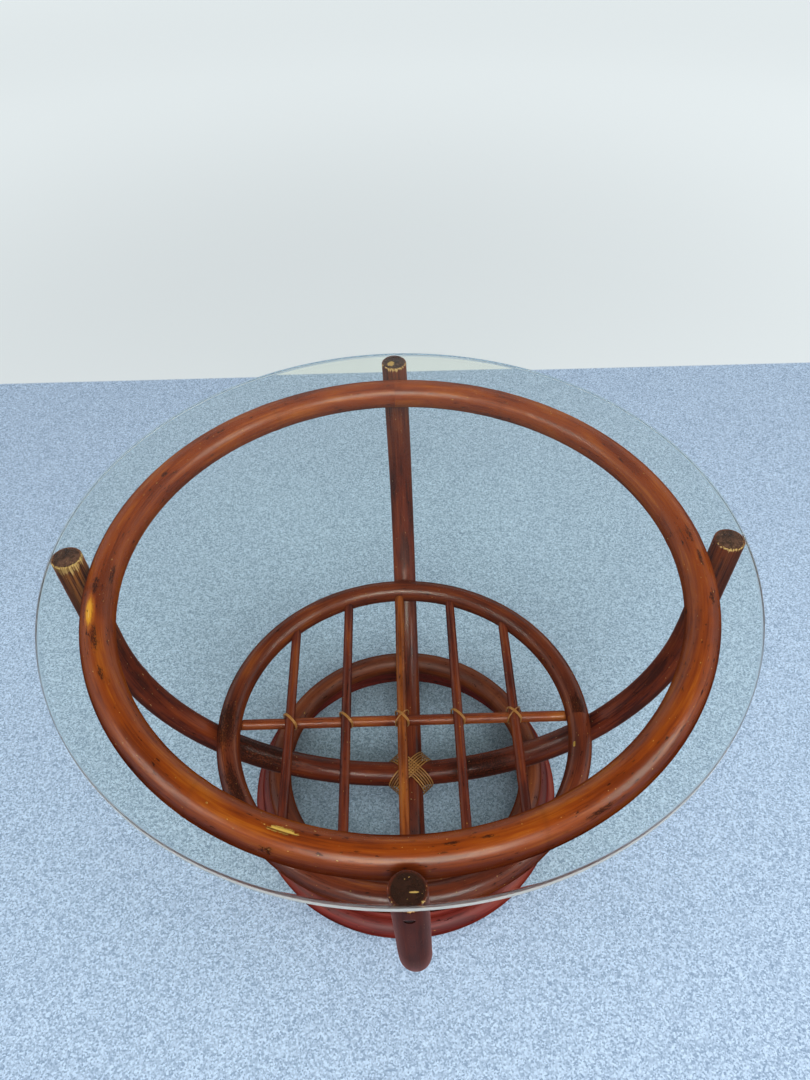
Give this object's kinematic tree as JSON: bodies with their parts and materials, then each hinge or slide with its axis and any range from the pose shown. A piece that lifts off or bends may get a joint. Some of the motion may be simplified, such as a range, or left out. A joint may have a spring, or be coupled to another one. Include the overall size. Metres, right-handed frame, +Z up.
{
  "type": "rattan coffee table",
  "caption": "Round coffee table of bent rattan poles: crossed bows carry a loose clear glass top, with a ring under the glass, a barred shelf and a stepped ring base.",
  "frame": {"origin": "on the floor under the middle of the table", "axes": "+Z up through the middle of the glass, +X to the right and -Y to the front as the table is pictured"},
  "size_m": [0.701, 0.7004, 0.482],
  "materials": {
    "clear_glass": "polished",
    "ring_lacquer": "gloss lacquer",
    "bow_lacquer": "gloss lacquer",
    "shelf_lacquer": "gloss lacquer",
    "base_lacquer": "gloss lacquer",
    "rattan_peel": "satin",
    "steel": "dull"
  },
  "bodies": {
    "frame": {"top_ring": "ring_lacquer", "bow_left_right": "bow_lacquer", "bow_front_back": "bow_lacquer", "shelf_ring": "shelf_lacquer", "shelf_bar_1": "shelf_lacquer", "shelf_bar_2": "shelf_lacquer", "shelf_bar_3": "shelf_lacquer", "shelf_bar_4": "shelf_lacquer", "shelf_bar_5": "shelf_lacquer", "shelf_cross_bar": "shelf_lacquer", "base_ring_top": "base_lacquer", "base_ring_middle": "base_lacquer", "base_ring_bottom": "base_lacquer", "crossing_lashing_under": "rattan_peel", "crossing_lashing_over": "rattan_peel", "bar_binding_1": "rattan_peel", "bar_binding_2": "rattan_peel", "bar_binding_3": "rattan_peel", "bar_binding_4": "rattan_peel", "bar_binding_5": "rattan_peel", "prong_screw_left": "steel", "prong_screw_right": "steel", "prong_screw_front": "steel", "prong_screw_back": "steel", "shelf_screw_left": "steel", "shelf_screw_right": "steel", "shelf_screw_front": "steel", "shelf_screw_back": "steel", "base_screw_left": "steel", "base_screw_right": "steel", "base_screw_front": "steel", "base_screw_back": "steel", "bottom_ring_nail_1": "steel", "bottom_ring_nail_2": "steel", "bottom_ring_nail_3": "steel", "bottom_ring_nail_4": "steel", "middle_ring_nail_1": "steel", "middle_ring_nail_2": "steel", "middle_ring_nail_3": "steel", "middle_ring_nail_4": "steel", "bar_nail_1_front": "steel", "bar_nail_1_back": "steel", "bar_nail_2_front": "steel", "bar_nail_2_back": "steel", "bar_nail_3_front": "steel", "bar_nail_3_back": "steel", "bar_nail_4_front": "steel", "bar_nail_4_back": "steel", "bar_nail_5_front": "steel", "bar_nail_5_back": "steel", "cross_bar_nail_left": "steel", "cross_bar_nail_right": "steel"},
    "glass": {"glass_top": "clear_glass"}
  },
  "joints": [
    {"name": "glass_lift", "type": "slide", "parent": "frame", "child": "glass", "axis": [0, 0, 1], "range_m": [0, 0.15]}
  ]
}
